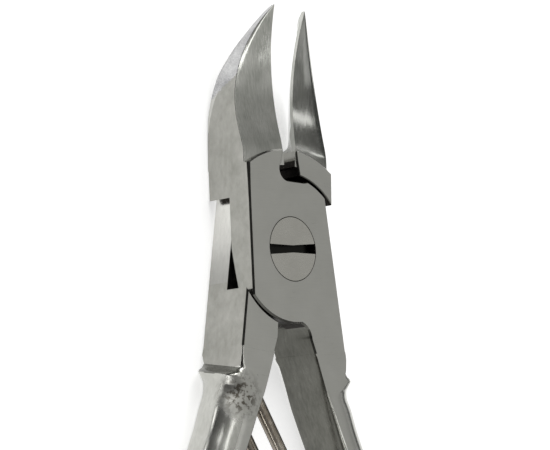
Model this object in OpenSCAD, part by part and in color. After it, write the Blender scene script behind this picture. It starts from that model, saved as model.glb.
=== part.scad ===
// Spring-opened nipper with a screwed lap joint, drawn half open as its spring leaves it.
// Millimetres. The pivot axis is Z, through the origin, with the screw head on top. The jaws
// point along +Y, the handles along -Y, and the whole tool lies on its flat back, z = 0.
// Each arm is drawn closed, with the cutting edges on the plane x = 0, and then swung open.

/* [Joint] */
// Thickness of the tool, from its flat back to its front face
body_t = 7.3; // [6.8:0.1:8]
// Half the width of the joint at the pivot
half_w = 7.15; // [6.8:0.05:7.6]
// How much each side widens for every millimetre towards the handles
side_taper = 0.061; // [0.05:0.001:0.07]
// Radius of each lap plate about the pivot
lap_r = 9.35; // [9.1:0.05:9.5]
// Gap between a lap plate's edge and the shoulder it turns in
lap_gap = 0.25; // [0.2:0.05:0.3]
// Gap between the two lap plates
lap_clear = 0.1; // [0.06:0.01:0.2]
// How far each arm is swung open from the closed tool, in degrees
rest_angle = 4.95; // [3:0.05:6]

/* [Pivot screw] */
// Diameter of the screw head
head_d = 8; // [7:0.1:8.4]
// Depth of the screw head
head_t = 1.9; // [1.5:0.1:2.4]
// Diameter of the screw shank
shank_d = 5; // [4:0.1:5.5]
// Width of the driver slot at its middle
slot_w = 0.9; // [0.7:0.05:1.1]
// Width of the driver slot at its ends
slot_end_w = 1.35; // [1:0.05:1.5]
// Angle at which the tightened screw's slot has come to rest
slot_turn = 4.5; // [-90:0.5:90]
// Depth of the driver slot
slot_d = 1.0; // [0.7:0.1:1.3]

/* [Jaws] */
// Distance from the pivot to the jaw tips
tip_y = 30.8; // [29:0.1:32]
// Radius about the pivot where the flat face ends and the hollow jaw begins
step_r = 12.65; // [12.3:0.05:13]
// Distance from the pivot to the lowest point of the concave cutting edge
edge_low_y = 20.6; // [20:0.1:21.5]
// Height of that lowest point above the flat back
edge_low_z = 6.24; // [6:0.02:6.5]
// Radius of the concave cutting edge
edge_arc_r = 32; // [30:0.5:36]
// Width of the ground land behind the cutting edge
land_w = 0.5; // [0.4:0.05:0.8]

/* [Handles] */
// Distance from the pivot to the end of each handle
handle_end = 116; // [105:1:125]
// Distance from the pivot to the end of the flat-sided block
block_end = 15.4; // [15:0.1:16]
// Length of the rounded end of a handle
end_round = 4; // [3:0.5:5]

/* [Spring] */
// Diameter of the spring wire
wire_d = 1.6; // [1.4:0.05:1.7]
// Height of the spring's upper leg
upper_leg_z = 6.05; // [5.8:0.05:6.2]
// Height of the spring's lower leg
lower_leg_z = 1.25; // [1:0.05:1.5]
// Depth of the holes that the wire ends are staked in
stake_depth = 2.6; // [2:0.1:3]

/* [Hidden] */
run_fit = 0.05;      // radial clearance of the screw in the front plate
thread_fit = 0.01;   // radial clearance of a part fixed in its hole
edge_clear = 0.03;   // each cutting edge's distance from the plane x = 0 when closed
overlap = 0.4;       // how far a lofted piece runs into the block it grows from
mid_z = body_t / 2;
leg_z = [upper_leg_z, lower_leg_z];
round_fn = 160;

// Half width of the joint at y
function side_x(y) = half_w - side_taper * y;

// Cubic curve through knots [distance, value, slope]
function knot_before(knots, d, i = 0) =
    (i >= len(knots) - 2 || d < knots[i + 1][0]) ? i : knot_before(knots, d, i + 1);
function curve(knots, d) =
    let (i = knot_before(knots, d), a = knots[i], b = knots[i + 1],
         w = b[0] - a[0], t = (d - a[0]) / w)
    (2*t*t*t - 3*t*t + 1) * a[1] + (t*t*t - 2*t*t + t) * w * a[2]
    + (3*t*t - 2*t*t*t) * b[1] + (t*t*t - t*t) * w * b[2];

// Solid through closed rings of equal length, listed with y rising, each clockwise seen along +Y
module loft(rings) {
    n = len(rings[0]);
    last = len(rings) - 1;
    sides = [for (i = [0:last - 1], j = [0:n - 1], half = [0, 1])
        let (a = i*n + j, b = i*n + (j + 1) % n)
        half == 0 ? [a, a + n, b + n] : [a, b + n, b]];
    caps = [[for (j = [0:n - 1]) j], [for (j = [n - 1:-1:0]) last*n + j]];
    polyhedron(points = [for (ring = rings) each ring], faces = concat(sides, caps), convexity = 6);
}

// ---- outlines of the joint, for the right-hand side ----

module jaw_root_outline() {
    intersection() {
        circle(r = step_r, $fn = round_fn);
        polygon([[edge_clear, step_r + 0.4], [side_x(step_r), step_r + 0.4], [side_x(0), 0],
                 [0.8, 0], [0.8, 9.6], [0.3, 11.35], [edge_clear, 12.5]]);
    }
}

crotch = [-0.35, -11.4];   // centre of the fillet between the lap plate and the handle
crotch_r = 2.2;

module handle_root_outline(with_fillet) {
    inner_x = crotch[0] + crotch_r;
    start_x = with_fillet ? crotch[0] : inner_x + 0.1;
    difference() {
        polygon([[start_x, 0], [side_x(0), 0], [side_x(-block_end), -block_end],
                 [handle_inner(block_end), -block_end], [inner_x + 0.05, crotch[1]],
                 [start_x, crotch[1]]]);
        if (with_fillet) translate(crotch) circle(r = crotch_r, $fn = round_fn);
    }
}

module lap_plate_outline() {
    intersection() {
        circle(r = lap_r, $fn = round_fn);
        polygon([[-side_x(-lap_r), -lap_r], [side_x(-lap_r), -lap_r],
                 [side_x(lap_r), lap_r], [-side_x(lap_r), lap_r]]);
    }
}

// Recess at the root of the jaws, cut in the plate's top edge
module root_notch_outline() {
    translate([0.37, 10.03]) circle(r = 1.33, $fn = 60);
    polygon([[0.37, 8.7], [3.6, 8.5], [4.2, 11], [0, 13], [-0.3, 11.4], [-0.93, 10.3]]);
}

// The joint half of the front arm: jaw on the left, handle block on the right, plate on top
module arm_root() {
    shoulder_r = lap_r + lap_gap;
    difference() {
        union() {
            linear_extrude(height = body_t) difference() {
                union() {
                    mirror([1, 0]) jaw_root_outline();
                    handle_root_outline(false);
                }
                circle(r = shoulder_r, $fn = round_fn);
            }
            translate([0, 0, mid_z + lap_clear/2]) linear_extrude(height = mid_z - lap_clear/2)
                difference() {
                    union() {
                        lap_plate_outline();
                        mirror([1, 0]) jaw_root_outline();
                        handle_root_outline(true);
                    }
                    root_notch_outline();
                }
        }
        corner_relief();
    }
}

// Relief that thins the plate's lower outer corner on its lap side
module corner_relief() {
    translate([-side_x(0), -0.3, mid_z - 2]) rotate([12, 0, 0])
        translate([-2, -8, 0]) cube([3.2, 8, 2]);
}

// ---- jaws, right-hand side ----

jaw_start = 10.6;        // the lofted jaw starts this far from the pivot, inside its root
taper_start = 13;        // where the jaw's side begins to curve in
sweep_start = 18;        // where the back begins to sweep up to the tip
sweep_end = 25;          // from here the swept back is straight
sweep_k = 0.05;          // rise of the swept back, per square millimetre

function jaw_inner(y) = edge_clear + max(0, step_r - y) * 0.27;
function jaw_side(y) = y < taper_start ? side_x(y)
    : side_x(taper_start) * pow(1 - pow((y - taper_start) / (tip_y - taper_start), 2.3), 0.9);
root_edge_z = 7.1;       // height of the cutting edge where it meets the joint
function edge_arc_z(y) = edge_low_z + pow(y - edge_low_y, 2) / (2*edge_arc_r);
function edge_z(y) = y < edge_low_y ? min(root_edge_z, edge_arc_z(y)) : edge_arc_z(y);
function ridge_z(y) = edge_z(y) - jaw_side(y) * (0.095 + 0.0135 * max(0, y - taper_start));
function back_z(y) = y < sweep_start ? 0
    : y < sweep_end ? sweep_k * pow(y - sweep_start, 2)
    : sweep_k * pow(sweep_end - sweep_start, 2)
      + 2 * sweep_k * (sweep_end - sweep_start) * (y - sweep_end)
      + 0.6 * pow(max(0, y - 29.5) / 1.3, 2);
// Inner end of the relief behind the cutting edge: it runs out round at the jaw's root
function relief_reach(y) = y < step_r ? 0 : y > 14.8 ? 1 : sqrt(1 - pow((14.8 - y) / 2.15, 2));

function jaw_ring(y) =
    let (xi = jaw_inner(y), xr = jaw_side(y), ze = edge_z(y), zr = ridge_z(y), zb = back_z(y),
         xb = xr * (1 - 0.07 * min(1, max(0, y - 14) / 4)),
         f = min(0.5, 0.03 + 0.0085 * pow(max(0, y - 14), 2)),
         land = land_w + 0.35 * max(0, 16 - y),
         xn = xi + (xb - min(0.5, 0.3*xb) - xi) * relief_reach(y))
    [[xi, ze], [xi + 0.6*(xr - xi), ze - 0.45*(ze - zr)], [xr, zr],
     [xb + (xr - xb)*f*2, zb + (zr - zb)*f], [xb, zb], [xn, zb + 0.02],
     [xi, max(zb + 0.04, ze - land)]];

module jaw() {
    stations = concat([for (y = [jaw_start:1.025:step_r]) y],
                      [12.9, 13.3, 13.8, 14.3, 14.8, 15.5, 16.3, 17.2],
                      [for (y = [18:1:29]) y], [29.6, 30.1, 30.5, tip_y - 0.06]);
    loft([for (y = stations) [for (p = jaw_ring(y)) [p[0], y, p[1]]]]);
}

// ---- handles, right-hand side; d is the distance below the pivot ----

inner_knots = [[10, 1.9, 0.2], [16, 3.25, 0.26], [25.5, 6.0, 0.31], [86, 13.4, 0], [125, 10, -0.2]];
outer_knots = [[14, 8.0, 0.06], [15.3, 8.1, 0.15], [16.5, 9.95, 0.4], [17.9, 9.65, 0],
               [20.6, 10.3, 0.28], [25.7, 11.85, 0.31], [86, 20.3, 0], [125, 15.5, -0.25]];
function handle_inner(d) = curve(inner_knots, d);
function handle_outer(d) = curve(outer_knots, d);
// Reach of the rounding on the outer side and on the inner side, and its height on the inner side
function outer_round(d) =
    lookup(d, [[15.3, 0.2], [16.6, 2.6], [17.6, 3.7], [19, 4.2], [60, 3.9], [116, 3.2]]);
function inner_round(d) = lookup(d, [[13, 0.1], [19.7, 0.35], [25.5, 0.6], [60, 2.6], [116, 2]]);
function inner_round_z(d) = lookup(d, [[13, 0.3], [15.4, 0.95], [25.5, 2.45], [40, 3.6]]);

function handle_ring(d) =
    let (s = d > handle_end - end_round
             ? sqrt(max(0.002, 1 - pow((d - handle_end + end_round) / end_round, 2))) : 1,
         xm = (handle_inner(d) + handle_outer(d)) / 2,
         xi = xm + (handle_inner(d) - xm) * s, xo = xm + (handle_outer(d) - xm) * s,
         hz = mid_z * s,
         ax = outer_round(d) * s, bx = inner_round(d) * s, bz = min(hz - 0.01, inner_round_z(d) * s))
    concat([for (a = [90:-15:-90]) [xo - ax + ax*cos(a), mid_z + hz*sin(a)]],
           [for (a = [270:-30:180]) [xi + bx + bx*cos(a), mid_z - hz + bz + bz*sin(a)]],
           [for (a = [180:-30:90]) [xi + bx + bx*cos(a), mid_z + hz - bz + bz*sin(a)]]);

module handle() {
    stations = concat([handle_end, handle_end - 0.3, handle_end - 1.2, handle_end - 2.4],
                      [for (d = [handle_end - end_round:-4:28]) d], [26, 24, 22, 20.5, 19, 18],
                      [17.5, 17, 16.6, 16.2, 15.8, block_end, block_end - overlap]);
    loft([for (d = stations) [for (p = handle_ring(d)) [p[0], -d, p[1]]]]);
}

// ---- spring ----

// The wire leaves the left handle at the root and its closed end bears on the right handle
spring_root = [-5.6, -19.1];
spring_path = [spring_root, [3.6, -33.9], [13.4, -48.5], [16.85, -62]];
stake_dir = (spring_path[0] - spring_path[1]) / norm(spring_path[1] - spring_path[0]);
bend_r = (leg_z[0] - leg_z[1]) / 2;

function bezier(p, t) = pow(1 - t, 3)*p[0] + 3*t*pow(1 - t, 2)*p[1] + 3*t*t*(1 - t)*p[2] + t*t*t*p[3];
function unit(v) = v / norm(v);

leg_steps = 14;
bend_steps = 10;
leg_points = [for (i = [0:leg_steps]) bezier(spring_path, i / leg_steps)];
end_dir = unit(spring_path[3] - spring_path[2]);
wire_points = concat(
    [for (p = leg_points) [p[0], p[1], leg_z[0]]],
    [for (i = [1:bend_steps - 1]) let (a = 180 * i / bend_steps, s = bend_r * sin(a))
        [spring_path[3][0] + end_dir[0]*s, spring_path[3][1] + end_dir[1]*s,
         (leg_z[0] + leg_z[1])/2 + bend_r * cos(a)]],
    [for (i = [leg_steps:-1:0]) [leg_points[i][0], leg_points[i][1], leg_z[1]]]);

// Round wire of diameter d along points
module wire(points, d, sides = 10) {
    n = len(points) - 1;
    side = [end_dir[1], -end_dir[0], 0];
    rings = [for (i = [0:n])
        let (t = unit(points[min(n, i + 1)] - points[max(0, i - 1)]),
             u = unit(cross(cross(t, side), t)), v = cross(t, u))
        [for (k = [0:sides - 1]) let (a = 360 * k / sides)
            points[i] + d/2 * (cos(a)*u + sin(a)*v)]];
    quads = [for (i = [0:n - 1], k = [0:sides - 1], half = [0, 1])
        let (a = i*sides + k, b = i*sides + (k + 1) % sides)
        half == 0 ? [a, a + sides, b + sides] : [a, b + sides, b]];
    caps = [[for (k = [0:sides - 1]) k], [for (k = [sides - 1:-1:0]) n*sides + k]];
    polyhedron(points = [for (ring = rings) each ring], faces = concat(quads, caps), convexity = 8);
}

// Straight round stub staked into the left handle, or the hole for it
module stake(z, r, from, length) {
    start = spring_root + stake_dir * from;
    translate([start[0], start[1], z])
        rotate([0, 0, atan2(stake_dir[1], stake_dir[0])]) rotate([0, 90, 0])
            cylinder(r = r, h = length, $fn = 40);
}

// ---- the pieces ----

module front_arm() {
    color("silver") rotate([0, 0, rest_angle]) {
        difference() {
            arm_root();
            translate([0, 0, body_t - head_t])
                cylinder(d = head_d + 2*run_fit, h = head_t + 1, $fn = round_fn);
            translate([0, 0, -1]) cylinder(d = shank_d + 2*run_fit, h = body_t + 2, $fn = 80);
        }
        mirror([1, 0, 0]) jaw();
        handle();
    }
}

module back_arm() {
    color("lightgray") difference() {
        rotate([0, 0, -rest_angle]) {
            difference() {
                translate([0, 0, body_t]) rotate([0, 180, 0]) arm_root();
                translate([0, 0, -1]) cylinder(d = shank_d + 2*thread_fit, h = body_t + 2, $fn = 80);
            }
            jaw();
            mirror([1, 0, 0]) handle();
        }
        for (z = leg_z) stake(z, wire_d/2 + thread_fit, -1, stake_depth + 1);
    }
}

module pivot_screw() {
    color("gainsboro") difference() {
        union() {
            cylinder(d = shank_d, h = body_t - head_t + run_fit + 0.01, $fn = 80);
            translate([0, 0, body_t - head_t + run_fit])
                cylinder(d = head_d, h = head_t - run_fit, $fn = round_fn);
        }
        translate([0, 0, body_t - slot_d]) rotate([0, 0, slot_turn])
            linear_extrude(height = slot_d + 1) driver_slot_outline();
    }
}

// Driver slot, narrower in the middle than at its ends
module driver_slot_outline() {
    reach = head_d/2 + 0.5;
    polygon([[-reach, -slot_end_w/2], [0, -slot_w/2], [reach, -slot_end_w/2],
             [reach, slot_end_w/2], [0, slot_w/2], [-reach, slot_end_w/2]]);
}

module spring() {
    color("dimgray") wire(wire_points, wire_d);
}

module spring_roots() {
    color("dimgray") for (z = leg_z) stake(z, wire_d/2, 0.3, stake_depth - 0.35);
}

front_arm();
back_arm();
pivot_screw();
spring();
spring_roots();
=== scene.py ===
import math

import bmesh
import bpy
from mathutils import Matrix, Vector

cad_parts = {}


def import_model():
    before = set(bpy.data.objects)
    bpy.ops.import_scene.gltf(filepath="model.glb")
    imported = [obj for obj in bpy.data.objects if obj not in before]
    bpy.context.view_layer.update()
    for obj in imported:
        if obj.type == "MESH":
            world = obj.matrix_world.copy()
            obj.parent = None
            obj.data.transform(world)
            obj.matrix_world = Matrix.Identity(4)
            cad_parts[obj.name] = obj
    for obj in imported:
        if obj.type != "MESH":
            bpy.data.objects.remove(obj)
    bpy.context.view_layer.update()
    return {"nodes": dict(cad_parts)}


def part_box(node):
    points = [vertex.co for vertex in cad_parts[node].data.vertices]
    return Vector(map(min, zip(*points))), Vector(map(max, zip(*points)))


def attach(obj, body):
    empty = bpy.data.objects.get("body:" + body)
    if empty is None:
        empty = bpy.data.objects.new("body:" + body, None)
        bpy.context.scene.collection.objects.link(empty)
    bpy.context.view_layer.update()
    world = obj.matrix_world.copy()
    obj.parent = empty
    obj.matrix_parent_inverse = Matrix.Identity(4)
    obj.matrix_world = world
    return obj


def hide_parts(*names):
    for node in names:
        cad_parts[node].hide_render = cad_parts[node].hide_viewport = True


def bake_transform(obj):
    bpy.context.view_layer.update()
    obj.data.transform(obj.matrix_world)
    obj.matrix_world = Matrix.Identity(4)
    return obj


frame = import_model()

# The shapes below are worked out in millimetres, on the closed tool, and then swung open.
MM = 0.001
BODY_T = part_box("pivot_screw")[1][2] / MM
MID_Z = BODY_T / 2
TIP_Y = 30.95
HALF_W = 7.15
SIDE_TAPER = 0.061
LAP_R = 9.35
SHOULDER_R = 9.6
STEP_R = 12.65
# Angle where the arc of a jaw's step starts, just off the plane between the arms
STEP_FROM = 90.19
LAP_GAP = 0.05
NOTCH = (0.37, 10.03)
NOTCH_R = 1.33
CROTCH = (-0.35, -11.4)
CROTCH_R = 2.2
EDGE_BREAK = 0.22
ROOT_EDGE_BREAK = 0.1
BLOCK_END = 15.4
LIMB_START = 13.6
HANDLE_END = 116.0
END_ROUND = 4.0
EDGE_CLEAR = 0.03
REST_ANGLE = 4.95
HEAD_D = 8.1
HEAD_T = 1.9
SHANK_D = 5.1
WELD = 0.0008


# ---------------------------------------------------------------- curves and meshes


def curve(knots, t):
    """Smooth value at t through knots of (t, value), flat beyond both ends."""
    if t <= knots[0][0]:
        return knots[0][1]
    if t >= knots[-1][0]:
        return knots[-1][1]
    i = max(k for k in range(len(knots) - 1) if knots[k][0] <= t)
    (t0, v0), (t1, v1) = knots[i], knots[i + 1]

    def slope(k):
        if k == 0 or k == len(knots) - 1:
            j = 0 if k == 0 else k - 1
            return (knots[j + 1][1] - knots[j][1]) / (knots[j + 1][0] - knots[j][0])
        left = (knots[k][1] - knots[k - 1][1]) / (knots[k][0] - knots[k - 1][0])
        right = (knots[k + 1][1] - knots[k][1]) / (knots[k + 1][0] - knots[k][0])
        return 0.0 if left * right <= 0 else 2 * left * right / (left + right)

    w = t1 - t0
    s = (t - t0) / w
    return ((2 * s**3 - 3 * s**2 + 1) * v0 + (s**3 - 2 * s**2 + s) * w * slope(i)
            + (3 * s**2 - 2 * s**3) * v1 + (s**3 - s**2) * w * slope(i + 1))


def arc(centre, radius, start, stop, steps):
    """Points of an arc in degrees, both ends included."""
    angles = [math.radians(start + (stop - start) * k / steps) for k in range(steps + 1)]
    return [(centre[0] + radius * math.cos(a), centre[1] + radius * math.sin(a)) for a in angles]


def angle_of(point):
    return math.degrees(math.atan2(point[1], point[0]))


def side_x(y):
    return HALF_W - SIDE_TAPER * y


def side_meets(radius, sign):
    """The point of the joint's side, above or below the pivot, at a radius from it."""
    y = sign * math.sqrt(radius**2 - HALF_W**2)
    for _ in range(8):
        y = sign * math.sqrt(radius**2 - side_x(y) ** 2)
    return side_x(y), y


def softened(points, cuts, steps=6):
    """A closed outline with each corner cut back by its own length and rounded; 0 leaves a point."""
    out = []
    for i, corner in enumerate(points):
        p, a, b = Vector(corner), Vector(points[i - 1]), Vector(points[(i + 1) % len(points)])
        if cuts[i] == 0:
            out.append(p)
            continue
        cut = min(cuts[i], 0.45 * (a - p).length, 0.45 * (b - p).length)
        p0 = p + (a - p).normalized() * cut
        p1 = p + (b - p).normalized() * cut
        for k in range(steps + 1):
            s = k / steps
            out.append(p0 * (1 - s) ** 2 + p * 2 * s * (1 - s) + p1 * s**2)
    return out


def between(a, b, t):
    return a[0] + (b[0] - a[0]) * t, a[1] + (b[1] - a[1]) * t


def inset(points, amount):
    """An outline moved inwards; the outline runs anticlockwise."""
    moved = []
    n = len(points)
    for i in range(n):
        p = Vector(points[i])
        before = (p - Vector(points[i - 1])).normalized()
        after = (Vector(points[(i + 1) % n]) - p).normalized()
        n0 = Vector((-before.y, before.x))
        n1 = Vector((-after.y, after.x))
        moved.append(p + (n0 + n1) * (amount / max(0.3, 1 + n0.dot(n1))))
    return moved


def area(points):
    n = len(points)
    return sum(points[i][0] * points[(i + 1) % n][1] - points[(i + 1) % n][0] * points[i][1]
               for i in range(n)) / 2


def loft(rings, name="shell"):
    """A closed mesh through closed rings of equal length."""
    bm = bmesh.new()
    rows = [[bm.verts.new(p) for p in ring] for ring in rings]
    n = len(rows[0])
    for low, high in zip(rows, rows[1:]):
        for j in range(n):
            bm.faces.new((low[j], low[(j + 1) % n], high[(j + 1) % n], high[j]))
    bm.faces.new(rows[0][::-1])
    bm.faces.new(rows[-1])
    bmesh.ops.recalc_face_normals(bm, faces=bm.faces)
    if bm.calc_volume(signed=True) < 0:
        bmesh.ops.reverse_faces(bm, faces=bm.faces)
    mesh = bpy.data.meshes.new(name)
    bm.to_mesh(mesh)
    bm.free()
    obj = bpy.data.objects.new(name, mesh)
    bpy.context.scene.collection.objects.link(obj)
    return obj


def prism(outline, low, high, low_edge=0.0, high_edge=0.0):
    """An upright solid of an outline, with its lower and upper edges broken."""
    if area(outline) < 0:
        outline = outline[::-1]
    levels = []
    if low_edge:
        levels.append((low, low_edge))
    levels.append((low + low_edge, 0.0))
    levels.append((high - high_edge, 0.0))
    if high_edge:
        levels.append((high, high_edge))
    return loft([[(p[0], p[1], z) for p in inset(outline, d)] for z, d in levels])


def combine(base, operation, others):
    """Joins other solids to a base or cuts them from it, and removes them."""
    for other in others:
        change = base.modifiers.new("combine", "BOOLEAN")
        change.operation = operation
        change.solver = "MANIFOLD"
        change.object = other
        with bpy.context.temp_override(object=base, active_object=base):
            bpy.ops.object.modifier_apply(modifier=change.name)
        bpy.data.objects.remove(other)
    return base


# ---------------------------------------------------------------- shape of an arm, jaw on the left


def inner_line():
    """The gap between the two jaw roots, from the tip side down, just behind the jaw's inner side."""
    return [(-EDGE_CLEAR - 0.01, 12.5), (-0.3, 11.35)]


def plate_outline():
    """Front half of an arm: jaw root, lap plate and handle block in one outline."""
    step_side = side_meets(STEP_R, 1)
    top_side = side_meets(LAP_R, 1)
    low_side = side_meets(LAP_R, -1)
    inner_x = handle_inner(LIMB_START)
    outline = arc((0, 0), STEP_R, STEP_FROM, 180 - angle_of(step_side), 16)
    outline += arc((0, 0), LAP_R, 180 - angle_of(low_side), 272.6, 24)
    outline += arc(CROTCH, CROTCH_R, 68, 0, 10)
    outline += [(inner_x, -LIMB_START), (side_x(-LIMB_START), -LIMB_START)]
    outline += arc((0, 0), LAP_R, angle_of(top_side), 66, 8)
    outline += [(2.96, 8.48)]
    outline += arc(NOTCH, NOTCH_R, 270, 168, 12)
    outline += inner_line()[::-1]
    return outline


def jaw_root_outline():
    """Back half of the jaw root, outside the shoulder."""
    step_side = side_meets(STEP_R, 1)
    shoulder = side_meets(SHOULDER_R, 1)
    outline = arc((0, 0), STEP_R, STEP_FROM, 180 - angle_of(step_side), 16)
    outline += arc((0, 0), SHOULDER_R, 180 - angle_of(shoulder), 94.8, 10)
    return outline + inner_line()[::-1]


def handle_root_outline():
    """Back half of the handle block, outside the shoulder."""
    shoulder = side_meets(SHOULDER_R, -1)
    outline = arc((0, 0), SHOULDER_R, angle_of(shoulder), -78.4, 10)
    outline += [(1.93, CROTCH[1]), (handle_inner(LIMB_START), -LIMB_START)]
    return outline + [(side_x(-LIMB_START), -LIMB_START)]


def growing_chamfer():
    """Cutter for the outer front edge of the jaw root, where its chamfer grows to the step."""
    rings = []
    for y, c in ((3.0, 0.2), (8.0, 0.24), (13.5, 0.42)):
        x = -side_x(y)
        rings.append([(x - 1, y, BODY_T - c - 1), (x - 1, y, BODY_T + 1), (x + c + 1, y, BODY_T + 1)])
    return loft(rings)


def tongue_relief():
    """Cutter that thins the plate's lower outer corner on its lap side."""
    rings = []
    for y, depth in ((0.0, 0.0), (-2.0, 0.4), (-4.1, 0.85), (-7.5, 1.45)):
        z = MID_Z + depth
        rings.append([(-9, y, MID_Z - 0.3), (-6.6, y, MID_Z - 0.3), (-6.6, y, z), (-9, y, z + 0.15)])
    return loft(rings)


# -- jaw

JAW_SIDE_START = 13.0
FACET_START = 22.3


def jaw_side(y):
    if y < JAW_SIDE_START:
        return side_x(y)
    u = min(1.0, (y - JAW_SIDE_START) / (TIP_Y - JAW_SIDE_START))
    return side_x(JAW_SIDE_START) * max(0.0, 1 - u**2.3) ** 0.9


def edge_z(y):
    """Height of the cutting edge: a hollow arc that levels out towards the joint."""
    if y > 14.5:
        return 6.24 + (y - 20.6) ** 2 * 0.0155
    t = max(0.0, (y - 11.5) / 3)
    return 7.1 - 0.283 * (3 * t**2 - 2 * t**3) + 0.567 * (t**2 - t**3)


def ridge_z(y):
    return edge_z(y) - jaw_side(y) * (0.095 + 0.0135 * max(0.0, y - JAW_SIDE_START))


# The jaw's lower outer edge, along y: how far out it runs, and how high
SOLE_X = ((11, 6.47), (13, 6.28), (16, 5.95), (19, 5.5), (22.3, 4.65), (25, 3.8), (28, 2.1),
          (30.2, 0.55), (TIP_Y, 0.08))
SOLE_Z = ((17.3, 0), (19, 0.25), (20.5, 0.55), (22.3, 1.0), (25, 2.7), (28, 4.7), (30.2, 6.35),
          (TIP_Y, 7.3))


def jaw_ring(y):
    """Corners of the jaw's section at y, and how much each is cut back."""
    xi = EDGE_CLEAR
    xr = max(xi + 0.03, jaw_side(y))
    ze, zr = edge_z(y), ridge_z(y)
    fall = ze - zr
    draft = 1 - 0.015 * min(1.0, max(0.0, (y - 11) / 2))
    xs = min(xr * draft, curve(SOLE_X, y))
    zs = min(zr - 0.03, curve(SOLE_Z, y))
    crease = 0.0 if y < 14.5 else 0.2 + 0.115 * max(0.0, y - 15) ** 1.58
    if y < FACET_START:
        zc = max(zs + 0.05, crease)
        lean = min(1.0, max(0.0, (y - 11) / 4))
        xc = xr - (0.02 + 0.04 * (zr - zc)) * lean
    else:
        s = (y - FACET_START) / (TIP_Y - FACET_START)
        part = 0.42 + 0.1 * s
        zc = zr + (zs - zr) * part
        xc = xr + (xs - xr) * part * (1 - 0.45 * max(0.0, 1 - s * 4))
    xc = min(xr - 0.002, max(xs + 0.005, xc))
    xn = curve([(STEP_R, xi + 0.02), (13.1, 2.5), (13.6, 4.3), (14.2, 5.2), (15, 5.6), (16, 5.65)], y)
    xs = max(xi + 0.02, xs)
    xn = min(xn, max(xi + 0.01, xs - 0.25 * min(1.0, xs)))
    land = curve([(12.6, 2.4), (13.1, 1.9), (13.6, 1.4), (14.2, 1.1), (15, 0.8), (16, 0.5)], y)
    zl = max(zs + 0.05, ze - min(land, 0.7 * fall + 0.3))
    face = [(xi, ze), (xi + 0.55 * (xr - xi), ze - 0.42 * fall),
            (xi + 0.85 * (xr - xi), ze - 0.74 * fall)]
    cheek = [between((xr, zr), (xc, zc), k / 6) for k in range(1, 6)]
    bevel = [between((xc, zc), (xs, zs), k / 4) for k in range(1, 4)]
    corners = face + [(xr, zr)] + cheek + [(xc, zc)] + bevel + [(xs, zs), (xn, zs + 0.02), (xi, zl)]
    wide = min(1.0, xr / 2)
    cuts = [0.03, 1.2 * wide, 0.6 * wide, 0.14] + [0] * 5 + [0.16] + [0] * 3 + [0.14, 0.08, 0.05]
    return corners, cuts


def jaw():
    ys = [10.6 + 0.205 * k for k in range(11)] + [12.85 + 0.2 * k for k in range(12)]
    ys += [15.3 + 0.25 * k for k in range(61)] + [30.45, 30.58, 30.66, TIP_Y - 0.01]
    rings = []
    for y in ys:
        corners, cuts = jaw_ring(y)
        rings.append([(-p.x, y, p.y) for p in softened(corners, cuts)])
    return loft(rings)


# -- handle; d is the distance below the pivot


def handle_inner(d):
    return curve([(13, 2.3), (15, 3.0), (16.6, 3.4), (18.8, 3.95), (20.6, 4.5), (23.2, 5.3), (25.7, 6.1),
                  (40, 9.7), (60, 12.5), (86, 13.5), (116, 11.4)], d)


def handle_outer(d):
    if d < BLOCK_END:
        return side_x(-d)
    return curve([(BLOCK_END, side_x(-BLOCK_END)), (15.9, 8.75), (16.2, 9.4), (16.6, 9.95), (17.3, 9.75),
                  (17.9, 9.62), (18.8, 9.7), (20.6, 10.3), (23.2, 11.0), (25.7, 11.85), (40, 15.9),
                  (60, 19.2), (86, 20.4), (116, 17.2)], d)


# The step where a block runs out into its handle lies lower at the front than at the back
RUN_OUT_SLANT = 0.15


def handle_ring(d):
    """The handle's section at d: rounded outside by ax and az, and inside by bx and bz."""
    s = 1.0
    if d > HANDLE_END - END_ROUND:
        s = math.sqrt(max(0.0004, 1 - ((d - HANDLE_END + END_ROUND) / END_ROUND) ** 2))
    xi, xo = handle_inner(d), handle_outer(d)
    xm = (xi + xo) / 2
    xi, xo = xm + (xi - xm) * s, xm + (xo - xm) * s
    # The limb's hidden start stays just inside the block's flat faces
    hz = (MID_Z - (0.004 if d < LIMB_START + 0.05 else 0)) * s
    ax = s * curve([(14.0, 0.22), (15.2, 0.7), (16.0, 1.5), (16.6, 2.5), (17.2, 3.1), (17.9, 3.8),
                    (18.8, 4.15), (25, 4.2), (60, 3.9), (116, 3.2)], d)
    bx = s * curve([(13, 0.1), (15, 0.14), (17.9, 0.28), (20.6, 0.38), (25.7, 0.62), (60, 2.6),
                    (116, 2.0)], d)
    bz = s * curve([(13, 0.5), (15, 0.8), (17.9, 1.4), (20.6, 1.8), (25.7, 2.45), (40, 3.6)], d)
    bz = min(bz, hz - 0.005)
    az = s * curve([(14.0, 0.22), (15.2, 0.9), (16.0, 2.0), (16.8, 3.3), (17.6, 3.64)], d)
    az = min(az, hz - 0.005)
    points = []
    for side in (1, -1):
        for k in range(17):
            a = math.radians(90 * (16 - k) / 16 if side > 0 else 90 * k / 16)
            points.append((xo - ax + ax * math.cos(a), MID_Z + side * (hz - az + az * math.sin(a))))
    for k in range(9):
        a = math.radians(270 - 90 * k / 8)
        points.append((xi + bx + bx * math.cos(a), MID_Z - hz + bz + bz * math.sin(a)))
    for k in range(9):
        a = math.radians(180 - 90 * k / 8)
        points.append((xi + bx + bx * math.cos(a), MID_Z + hz - bz + bz * math.sin(a)))
    slant = RUN_OUT_SLANT * curve([(LIMB_START, 0), (15.2, 1), (17, 1), (20, 0)], d)
    return [(x, -d - slant * (z - MID_Z), z) for x, z in points]


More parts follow.
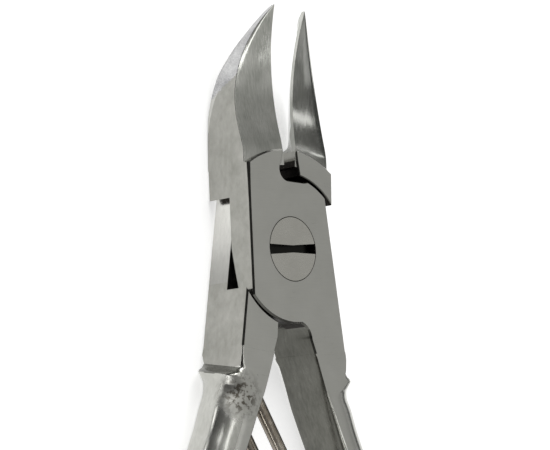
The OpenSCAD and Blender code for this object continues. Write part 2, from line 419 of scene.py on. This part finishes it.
def handle():
    ds = [LIMB_START - 0.4 + 0.1 * k for k in range(46)] + [17.8 + 0.4 * k for k in range(22)]
    ds += [26.6 + 1.5 * k for k in range(58)]
    ds += [HANDLE_END - END_ROUND + END_ROUND * math.sin(math.radians(a)) for a in range(10, 91, 8)]
    return loft([handle_ring(d) for d in ds])


def joint_solid():
    """The joint of the front arm, closed, jaw root on the left."""
    solid = prism(plate_outline(), MID_Z + LAP_GAP, BODY_T, 0.0, EDGE_BREAK)
    lower = [prism(jaw_root_outline(), 0, MID_Z + 1, ROOT_EDGE_BREAK),
             prism(handle_root_outline(), 0, MID_Z + 1, EDGE_BREAK)]
    combine(solid, "UNION", lower)
    return combine(solid, "DIFFERENCE", [growing_chamfer(), tongue_relief()])


def counterbore():
    """Cutter for the screw head's seat, with the edge of its mouth broken."""
    edge = 0.05
    levels = ((BODY_T - HEAD_T, 0.0), (BODY_T - edge, 0.0), (BODY_T + 0.5, edge + 0.5))
    return loft([[(x, y, z) for x, y in arc((0, 0), HEAD_D / 2 + wider, 0, 357, 119)]
                 for z, wider in levels])


def arm_solid(back):
    """One arm, closed; the back arm's joint is the front one turned over."""
    solid = joint_solid()
    limbs = [jaw(), handle()]
    if back:
        solid.data.transform(Matrix.Translation((0, 0, BODY_T)) @ Matrix.Rotation(math.pi, 4, "Y"))
        for limb in limbs:
            limb.data.transform(Matrix.Diagonal((-1, 1, 1, 1)))
            limb.data.flip_normals()
    combine(solid, "UNION", limbs)
    holes = [prism(arc((0, 0), SHANK_D / 2, 0, 354, 59), -1, BODY_T + 1)]
    if not back:
        holes.append(counterbore())
    return combine(solid, "DIFFERENCE", holes)


def place(obj, turn):
    """Keeps the closed tool's coordinates for the materials, then swings the mesh to its rest."""
    mesh = obj.data
    closed = mesh.attributes.new("tool", "FLOAT_VECTOR", "POINT")
    closed.data.foreach_set("vector", [c for v in mesh.vertices for c in v.co])
    mesh.transform(Matrix.Scale(MM, 4) @ Matrix.Rotation(math.radians(turn), 4, "Z"))


FLAT, SIDE, FLANK, JAW, ROUND, LAP, INNER, BRIGHT = range(8)
# The painted bright stretch of a plate's side ends here
BRIGHT_END = -5.0


def face_kind(centre, normal):
    """Which finish a face of an arm has, from its place on the closed tool."""
    x, y, z = centre
    reach = math.hypot(x, y)
    outward = normal.x * (1 if x > 0 else -1)
    upright = abs(normal.z) < 0.35
    # The lapped faces, the walls round the lap and the screw's seat: near black, for oil and for painted
    # shade between the parts.
    if abs(z - MID_Z) < 0.2 and abs(normal.z) > 0.9:
        return LAP
    if upright and 8.3 < reach < SHOULDER_R + 0.15 and outward < 0.8:
        return LAP
    if upright and y > 8 and math.hypot(abs(x) - NOTCH[0], y - NOTCH[1]) < NOTCH_R + 0.17:
        return LAP
    if abs(normal.z) < 0.9 and reach < HEAD_D / 2 + 0.1:
        return LAP
    # Painted shade: the handles' inner sides, and the run-out shoulders that face the joint, take a dark
    # finish for the shade between the arms.
    if y < -9 and outward < -0.6:
        return INNER
    if -17.2 < y < -14.6 and normal.y > 0.35:
        return INNER
    # Painted light: the outer side of the plate below the lap takes a lighter finish.
    if upright and outward > 0.9 and y > BRIGHT_END and reach < SHOULDER_R and z < MID_Z:
        return BRIGHT
    if y < -BLOCK_END - 0.3 or (y < -LIMB_START and normal.z > 0.9):
        return FLAT if normal.z > 0.985 else ROUND
    if y > STEP_R - 1.8 and reach > STEP_R - 0.05:
        if y > FACET_START - 0.55 * (5.3 - z) and outward > 0.2 and normal.z < 0.8:
            return FLANK
        if normal.z < -0.15 and outward > 0.5:
            return ROUND
        if normal.z > 0.5:
            return JAW
        return SIDE if outward > 0 else JAW
    return FLAT if abs(normal.z) > 0.9 else SIDE


def weld_and_split(mesh, y):
    """Welds slivers shut, and adds edges across a mesh at y, where a finish changes."""
    bm = bmesh.new()
    bm.from_mesh(mesh)
    bmesh.ops.remove_doubles(bm, verts=bm.verts[:], dist=WELD)
    everything = bm.verts[:] + bm.edges[:] + bm.faces[:]
    bmesh.ops.bisect_plane(bm, geom=everything, plane_co=(0, y, 0), plane_no=(0, 1, 0))
    bm.to_mesh(mesh)
    bm.free()


def finish_arm(obj, finishes):
    weld_and_split(obj.data, BRIGHT_END)
    obj.data.materials.clear()
    for material in finishes:
        obj.data.materials.append(material)
    for face in obj.data.polygons:
        face.material_index = face_kind(face.center, face.normal)


def shade(obj, degrees):
    """Smooth shading that breaks at real edges."""
    for face in obj.data.polygons:
        face.use_smooth = True
    obj.data.set_sharp_from_angle(angle=math.radians(degrees))
    weigh = obj.modifiers.new("weigh", "WEIGHTED_NORMAL")
    weigh.keep_sharp = True
    with bpy.context.temp_override(object=obj, active_object=obj):
        bpy.ops.object.modifier_apply(modifier=weigh.name)


# ---------------------------------------------------------------- spring wire

WIRE_D = 1.6
LEG_Z = (6.05, 1.25)
STAKED = 2.3
SPRING_ROUTE = [Vector(p) for p in ((-5.6, -19.1), (3.6, -33.9), (13.4, -48.5), (16.85, -62.0))]


def bezier(p, t):
    return (1 - t) ** 3 * p[0] + 3 * t * (1 - t) ** 2 * p[1] + 3 * t * t * (1 - t) * p[2] + t**3 * p[3]


def spring_centres():
    """Centres of the wire with the direction of its leg in plan, from the upper end to the lower."""
    way = (SPRING_ROUTE[1] - SPRING_ROUTE[0]).normalized()
    plan = [(SPRING_ROUTE[0] - way * STAKED, way)]
    steps = 60
    for k in range(steps + 1):
        t = k / steps
        ahead = bezier(SPRING_ROUTE, min(1, t + 0.01)) - bezier(SPRING_ROUTE, max(0, t - 0.01))
        plan.append((bezier(SPRING_ROUTE, t), ahead.normalized()))
    end, way = plan[-1]
    bend = (LEG_Z[0] - LEG_Z[1]) / 2
    out = [((p.x, p.y, LEG_Z[0]), w) for p, w in plan]
    for k in range(1, 24):
        a = math.pi * k / 24
        p = end + way * bend * math.sin(a)
        out.append(((p.x, p.y, LEG_Z[1] + bend + bend * math.cos(a)), way))
    return out + [((p.x, p.y, LEG_Z[1]), w) for p, w in plan[::-1]]


def spring_wire():
    centres = spring_centres()
    sides = 24
    rings = []
    for i, (centre, way) in enumerate(centres):
        tangent = Vector(centres[min(i + 1, len(centres) - 1)][0]) - Vector(centres[max(i - 1, 0)][0])
        tangent.normalize()
        across = Vector((way.y, -way.x, 0))
        up = tangent.cross(across).normalized()
        ring = [Vector(centre) + WIRE_D / 2 * (math.cos(a) * across + math.sin(a) * up)
                for a in (2 * math.pi * k / sides for k in range(sides))]
        rings.append([p * MM for p in ring])
    return loft(rings, "spring_wire")


# ---------------------------------------------------------------- materials


def node(tree, kind, **sockets):
    made = tree.nodes.new(kind)
    for name, value in sockets.items():
        made.inputs[name.replace("_", " ")].default_value = value
    return made


def steel(name, dark, light, roughness, streaks, relief, spread=0.06, source="tool", pits=None,
          fade=None):
    """Steel with fine streaks; streaks is how many lie in a millimetre along X, Y and Z."""
    material = bpy.data.materials.new(name)
    material.use_nodes = True
    tree = material.node_tree
    link = tree.links.new
    shader = tree.nodes["Principled BSDF"]
    shader.inputs["Metallic"].default_value = 1.0
    where = tree.nodes.new("ShaderNodeAttribute")
    where.attribute_name = source
    position = where.outputs["Vector"]
    if source == "world":
        place_by = tree.nodes.new("ShaderNodeTexCoord")
        scale = node(tree, "ShaderNodeVectorMath")
        scale.operation = "SCALE"
        scale.inputs["Scale"].default_value = 1 / MM
        link(place_by.outputs["Object"], scale.inputs[0])
        position = scale.outputs[0]
    stretch = node(tree, "ShaderNodeMapping", Scale=streaks)
    link(position, stretch.inputs["Vector"])
    fine = node(tree, "ShaderNodeTexNoise", Scale=1.0, Detail=5.0, Roughness=0.6)
    link(stretch.outputs[0], fine.inputs["Vector"])
    cloud = node(tree, "ShaderNodeTexNoise", Scale=0.35, Detail=3.0)
    link(position, cloud.inputs["Vector"])
    blend = node(tree, "ShaderNodeMath")
    blend.operation = "MULTIPLY_ADD"
    blend.inputs[1].default_value = 0.5
    link(fine.outputs["Fac"], blend.inputs[0])
    half = node(tree, "ShaderNodeMath")
    half.operation = "MULTIPLY"
    half.inputs[1].default_value = 0.5
    link(cloud.outputs["Fac"], half.inputs[0])
    link(half.outputs[0], blend.inputs[2])
    colour = tree.nodes.new("ShaderNodeValToRGB")
    colour.color_ramp.elements[0].position = 0.3
    colour.color_ramp.elements[0].color = (*dark, 1)
    colour.color_ramp.elements[1].position = 0.7
    colour.color_ramp.elements[1].color = (*light, 1)
    link(blend.outputs[0], colour.inputs[0])
    tone = colour.outputs[0]
    if fade:
        tone = fade_along(tree, position, tone, *fade)
    link(tone, shader.inputs["Base Color"])
    gloss = node(tree, "ShaderNodeMapRange")
    gloss.inputs["From Min"].default_value = 0.3
    gloss.inputs["From Max"].default_value = 0.7
    gloss.inputs["To Min"].default_value = roughness - spread
    gloss.inputs["To Max"].default_value = roughness + spread
    link(blend.outputs[0], gloss.inputs["Value"])
    link(gloss.outputs[0], shader.inputs["Roughness"])
    bump = node(tree, "ShaderNodeBump", Strength=1.0, Distance=relief * MM)
    link(fine.outputs["Fac"], bump.inputs["Height"])
    last = bump
    if pits:
        last, spots, matt = add_pits(tree, position, bump, *pits)
        dulled = node(tree, "ShaderNodeMath")
        dulled.operation = "MULTIPLY_ADD"
        dulled.inputs[1].default_value = 0.3
        link(matt, dulled.inputs[0])
        link(gloss.outputs[0], dulled.inputs[2])
        link(dulled.outputs[0], shader.inputs["Roughness"])
        stained = tree.nodes.new("ShaderNodeMix")
        stained.data_type = "RGBA"
        stained.inputs["B"].default_value = (0.09, 0.08, 0.065, 1)
        link(spots, stained.inputs["Factor"])
        link(tone, stained.inputs["A"])
        link(stained.outputs["Result"], shader.inputs["Base Color"])
    link(last.outputs[0], shader.inputs["Normal"])
    return material


def fade_along(tree, position, tone, low_y, high_y, low_share):
    """A colour that is full above high_y on the tool and only a share of itself below low_y."""
    link = tree.links.new
    split = tree.nodes.new("ShaderNodeSeparateXYZ")
    link(position, split.inputs[0])
    share = node(tree, "ShaderNodeMapRange")
    share.interpolation_type = "SMOOTHSTEP"
    share.inputs["From Min"].default_value = low_y
    share.inputs["From Max"].default_value = high_y
    share.inputs["To Min"].default_value = low_share
    link(split.outputs["Y"], share.inputs["Value"])
    faded = node(tree, "ShaderNodeVectorMath")
    faded.operation = "SCALE"
    link(tone, faded.inputs[0])
    link(share.outputs[0], faded.inputs["Scale"])
    return faded.outputs[0]


def add_pits(tree, position, bump, centre, reach, depth):
    """Small hammer marks within reach of a centre: their relief, their dirt and their matt patch."""
    link = tree.links.new
    cells = node(tree, "ShaderNodeTexNoise", Scale=1.7, Detail=4.0, Roughness=0.62)
    link(position, cells.inputs["Vector"])
    away = node(tree, "ShaderNodeVectorMath")
    away.operation = "DISTANCE"
    away.inputs[1].default_value = centre
    link(position, away.inputs[0])
    mask = node(tree, "ShaderNodeMapRange")
    mask.inputs["From Min"].default_value = reach
    mask.inputs["From Max"].default_value = reach * 0.35
    link(away.outputs["Value"], mask.inputs["Value"])
    height = node(tree, "ShaderNodeMath")
    height.operation = "MULTIPLY"
    link(cells.outputs["Fac"], height.inputs[0])
    link(mask.outputs[0], height.inputs[1])
    pitted = node(tree, "ShaderNodeBump", Strength=1.0, Distance=depth * MM)
    link(height.outputs[0], pitted.inputs["Height"])
    link(bump.outputs[0], pitted.inputs["Normal"])
    hollow = node(tree, "ShaderNodeMapRange")
    hollow.inputs["From Min"].default_value = 0.52
    hollow.inputs["From Max"].default_value = 0.43
    hollow.inputs["To Min"].default_value = 0.3
    hollow.inputs["To Max"].default_value = 0.95
    link(cells.outputs["Fac"], hollow.inputs["Value"])
    spots = node(tree, "ShaderNodeMath")
    spots.operation = "MULTIPLY"
    link(hollow.outputs[0], spots.inputs[0])
    link(mask.outputs[0], spots.inputs[1])
    return pitted, spots.outputs[0], mask.outputs[0]


def arm_finishes(pits):
    """Finishes of an arm, in the order of the face kinds."""
    return [
        steel("satin_flat", (0.51, 0.51, 0.48), (0.56, 0.56, 0.53), 0.29, (0.5, 9, 9), 0.0001, 0.02,
              pits=pits),
        steel("polished_side", (0.27, 0.27, 0.245), (0.4, 0.395, 0.37), 0.17, (5, 0.8, 1.5), 0.0012),
        steel("ground_flank", (0.15, 0.15, 0.16), (0.72, 0.72, 0.72), 0.28, (2, 9, 3), 0.014, 0.12),
        # The fade is painted shade: the jaw's face darker towards the joint.
        steel("jaw_face", (0.36, 0.37, 0.34), (0.64, 0.64, 0.61), 0.13, (8, 0.7, 5), 0.0022,
              fade=(18, 24, 0.78)),
        steel("handle_polish", (0.43, 0.43, 0.4), (0.56, 0.56, 0.53), 0.19, (3, 1, 3), 0.0008, pits=pits),
        # Near black: oil on the lapped faces, with painted shade in the gaps between the arms and around
        # the screw head.
        steel("lap_oil_and_painted_shade", (0.012, 0.011, 0.01), (0.05, 0.045, 0.04), 0.4, (3, 3, 3), 0.004),
        # Painted shade: dark steel for the handles' inner sides and run-out shoulders, shaded between the
        # arms.
        steel("inner_side_painted_shade", (0.1, 0.1, 0.088), (0.19, 0.19, 0.17), 0.24, (3, 0.6, 3), 0.0014),
        # Painted light: a lighter copy of the side finish, fading darker towards the handle.
        steel("plate_side_painted_light", (0.64, 0.635, 0.6), (0.8, 0.795, 0.76), 0.2, (3, 0.8, 3), 0.0014,
              fade=(BRIGHT_END, 5.5, 0.5)),
    ]


# ---------------------------------------------------------------- the scene


def camera():
    right = Vector((0.7108, -0.026, 0.7031)).normalized()
    back = Vector((-0.6976, -0.1535, 0.7001)).normalized()
    up = back.cross(right).normalized()
    data = bpy.data.cameras.new("camera")
    data.lens = 135.6
    data.sensor_width = 36.0
    data.clip_start = 0.01
    obj = bpy.data.objects.new("camera", data)
    bpy.context.scene.collection.objects.link(obj)
    turn = Matrix((right, up, back)).transposed().to_4x4()
    obj.matrix_world = Matrix.Translation(Vector((-181.96, -36.62, 186.77)) * MM) @ turn
    bpy.context.scene.camera = obj


def area_light(name, place_m, size, power):
    data = bpy.data.lights.new(name, "AREA")
    data.shape = "RECTANGLE"
    data.size, data.size_y = size
    data.energy = power
    obj = bpy.data.objects.new(name, data)
    bpy.context.scene.collection.objects.link(obj)
    obj.location = place_m
    obj.rotation_euler = Vector(place_m).to_track_quat("Z", "Y").to_euler()


def world():
    made = bpy.data.worlds.new("studio")
    bpy.context.scene.world = made
    made.use_nodes = True
    tree = made.node_tree
    link = tree.links.new
    where = tree.nodes.new("ShaderNodeTexCoord")
    split = tree.nodes.new("ShaderNodeSeparateXYZ")
    link(where.outputs["Generated"], split.inputs[0])
    ramp = tree.nodes.new("ShaderNodeValToRGB")
    levels = ((0.0, 0.05), (0.25, 0.1), (0.5, 0.3), (0.72, 0.44), (1.0, 0.6))
    while len(ramp.color_ramp.elements) < len(levels):
        ramp.color_ramp.elements.new(0.5)
    for stop, (height, level) in zip(ramp.color_ramp.elements, levels):
        stop.position = height
        stop.color = (level, level, level * 0.97, 1)
    link(split.outputs["Z"], ramp.inputs[0])
    # The unlit part of the room, behind whoever looks at the tool
    facing = tree.nodes.new("ShaderNodeVectorMath")
    facing.operation = "DOT_PRODUCT"
    facing.inputs[1].default_value = Vector((-0.72, 0.05, 0.68)).normalized()
    link(where.outputs["Generated"], facing.inputs[0])
    shadow = node(tree, "ShaderNodeMapRange")
    shadow.inputs["From Min"].default_value = 0.68
    shadow.inputs["From Max"].default_value = 0.95
    shadow.inputs["To Min"].default_value = 1.0
    shadow.inputs["To Max"].default_value = 0.08
    link(facing.outputs["Value"], shadow.inputs["Value"])
    background = tree.nodes["Background"]
    link(ramp.outputs[0], background.inputs["Color"])
    link(shadow.outputs[0], background.inputs["Strength"])


def floor():
    mesh = bpy.data.meshes.new("floor")
    mesh.from_pydata([(-3, -3, 0), (3, -3, 0), (3, 3, 0), (-3, 3, 0)], [], [(0, 1, 2, 3)])
    obj = bpy.data.objects.new("floor", mesh)
    obj.location.z = -0.0002
    bpy.context.scene.collection.objects.link(obj)
    material = bpy.data.materials.new("floor_white")
    material.use_nodes = True
    shader = material.node_tree.nodes["Principled BSDF"]
    shader.inputs["Base Color"].default_value = (0.9, 0.9, 0.9, 1)
    shader.inputs["Roughness"].default_value = 1.0
    shader.inputs["Specular IOR Level"].default_value = 0.0
    shader.inputs["Emission Color"].default_value = (1, 1, 1, 1)
    shader.inputs["Emission Strength"].default_value = 0.55
    mesh.materials.append(material)


def build_arms():
    staked_at = (-7.5, -19.3, BODY_T - 0.4)
    finishes = {"front_arm": arm_finishes(None), "back_arm": arm_finishes((staked_at, 3.5, 0.0015))}
    for name, back, turn in (("front_arm", False, REST_ANGLE), ("back_arm", True, -REST_ANGLE)):
        obj = arm_solid(back)
        obj.name = obj.data.name = name + "_forged"
        finish_arm(obj, finishes[name])
        shade(obj, 20)
        place(obj, turn)
        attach(obj, name)
        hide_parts(name)


def build_spring():
    wire = spring_wire()
    shade(wire, 60)
    wire.data.materials.append(steel("spring_wire", (0.14, 0.11, 0.08), (0.42, 0.39, 0.34), 0.22, (4, 2, 4),
                                     0.003, source="world"))
    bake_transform(wire)
    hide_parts("spring", "spring_roots")


def darken_below(material, height, colour):
    """Old oil and dirt, with painted shade, on everything of a material that lies below a height."""
    tree = material.node_tree
    link = tree.links.new
    shader = tree.nodes["Principled BSDF"]
    where = tree.nodes.new("ShaderNodeTexCoord")
    split = tree.nodes.new("ShaderNodeSeparateXYZ")
    link(where.outputs["Object"], split.inputs[0])
    mask = node(tree, "ShaderNodeMapRange")
    mask.inputs["From Min"].default_value = (height - 0.05) * MM
    mask.inputs["From Max"].default_value = (height - 0.02) * MM
    link(split.outputs["Z"], mask.inputs["Value"])
    mix = tree.nodes.new("ShaderNodeMix")
    mix.data_type = "RGBA"
    mix.inputs["A"].default_value = (*colour, 1)
    link(mask.outputs[0], mix.inputs["Factor"])
    link(shader.inputs["Base Color"].links[0].from_socket, mix.inputs["B"])
    link(mix.outputs["Result"], shader.inputs["Base Color"])


def finish_screw():
    """The screw's CAD solid stays and gets its finish, darkened in the slot by dirt and painted shade."""
    screw = frame["nodes"]["pivot_screw"]
    satin = steel("screw_satin", (0.56, 0.55, 0.51), (0.62, 0.61, 0.57), 0.26, (1.5, 12, 12), 0.0004,
                  source="world")
    # Painted shade with dirt: the slot and the sides of the head, below the arms' face, go near black.
    darken_below(satin, BODY_T, (0.02, 0.02, 0.018))
    screw.data.materials.clear()
    screw.data.materials.append(satin)


# ---------------------------------------------------------------- putting it together

camera()
bpy.context.scene.view_settings.view_transform = "Standard"
world()
floor()
area_light("top", (-0.04, 0.18, 1.2), (0.1, 1.3), 1.0)
area_light("window", (1.02, 0.4, 0.505), (0.045, 0.22), 0.06)
area_light("glow", (1.03, 0.1, 0.36), (0.27, 0.18), 0.06)
area_light("lamp", (0.55, 0.0, 1.05), (0.14, 0.14), 0.16)
area_light("strip", (-1.2, 0.15, 0.17), (1.6, 0.12), 1.9)
area_light("back", (-0.2, 1.0, 0.8), (0.9, 0.5), 6)
area_light("right", (1.0, -0.5, 0.35), (0.5, 0.5), 3)
area_light("left", (-0.9, -0.9, 0.3), (0.3, 0.25), 1.5)
build_arms()
build_spring()
finish_screw()
